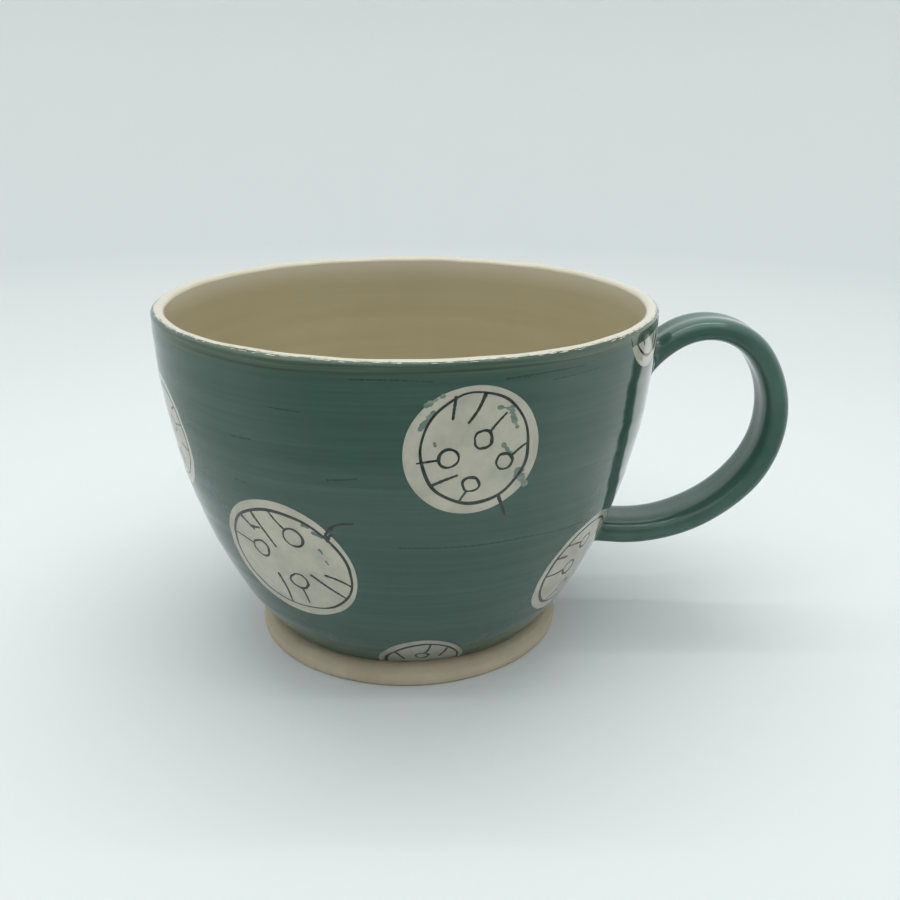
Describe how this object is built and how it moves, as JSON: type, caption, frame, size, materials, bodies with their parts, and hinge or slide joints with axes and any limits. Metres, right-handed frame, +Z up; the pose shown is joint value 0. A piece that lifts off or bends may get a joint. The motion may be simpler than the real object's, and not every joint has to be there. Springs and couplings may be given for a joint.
{
  "type": "stoneware mug",
  "caption": "Wide bowl-shaped stoneware mug on a bare turned foot ring, with a pulled loop handle, brushed green slip and round cream windows with small line drawings.",
  "frame": {"origin": "centre of the foot ring's underside, where the mug's axis meets the table", "axes": "+Z up along the mug's axis, +X towards the handle"},
  "size_m": [0.1553, 0.1202, 0.085],
  "materials": {
    "stoneware_clay": "fired clay, bare",
    "bare_foot_clay": "fired clay, turned and sponged, unglazed",
    "green_slip_glazed": "brushed green slip under clear gloss glaze",
    "brushed_band_glazed": "second brushed coat, thin and streaked, under clear gloss glaze",
    "cream_glaze": "cream gloss glaze, thin on the edge",
    "liner_glaze": "warm cream satin-gloss liner glaze",
    "cream_window_glazed": "cream slip under clear gloss glaze",
    "black_line": "black underglaze line under clear gloss glaze"
  },
  "bodies": {
    "root": {"thrown_body": "stoneware_clay", "foot_ring": "bare_foot_clay", "handle_strap": "stoneware_clay", "handle_slip": "green_slip_glazed", "upper_joint": "green_slip_glazed", "lower_joint": "green_slip_glazed", "green_slip": "green_slip_glazed", "rim_band": "brushed_band_glazed", "lip_glaze": "cream_glaze", "liner_glaze": "liner_glaze", "cream_window_01": "cream_window_glazed", "cream_window_02": "cream_window_glazed", "cream_window_03": "cream_window_glazed", "cream_window_04": "cream_window_glazed", "cream_window_05": "cream_window_glazed", "cream_window_06": "cream_window_glazed", "cream_window_07": "cream_window_glazed", "cream_window_08": "cream_window_glazed", "cream_window_09": "cream_window_glazed", "cream_window_10": "cream_window_glazed", "cream_window_11": "cream_window_glazed", "cream_window_12": "cream_window_glazed", "line_drawing_01": "black_line", "line_drawing_02": "black_line", "line_drawing_03": "black_line", "line_drawing_04": "black_line", "line_drawing_05": "black_line", "line_drawing_06": "black_line", "line_drawing_07": "black_line", "line_drawing_08": "black_line", "line_drawing_09": "black_line", "line_drawing_10": "black_line", "line_drawing_11": "black_line", "line_drawing_12": "black_line"}
  },
  "joints": []
}
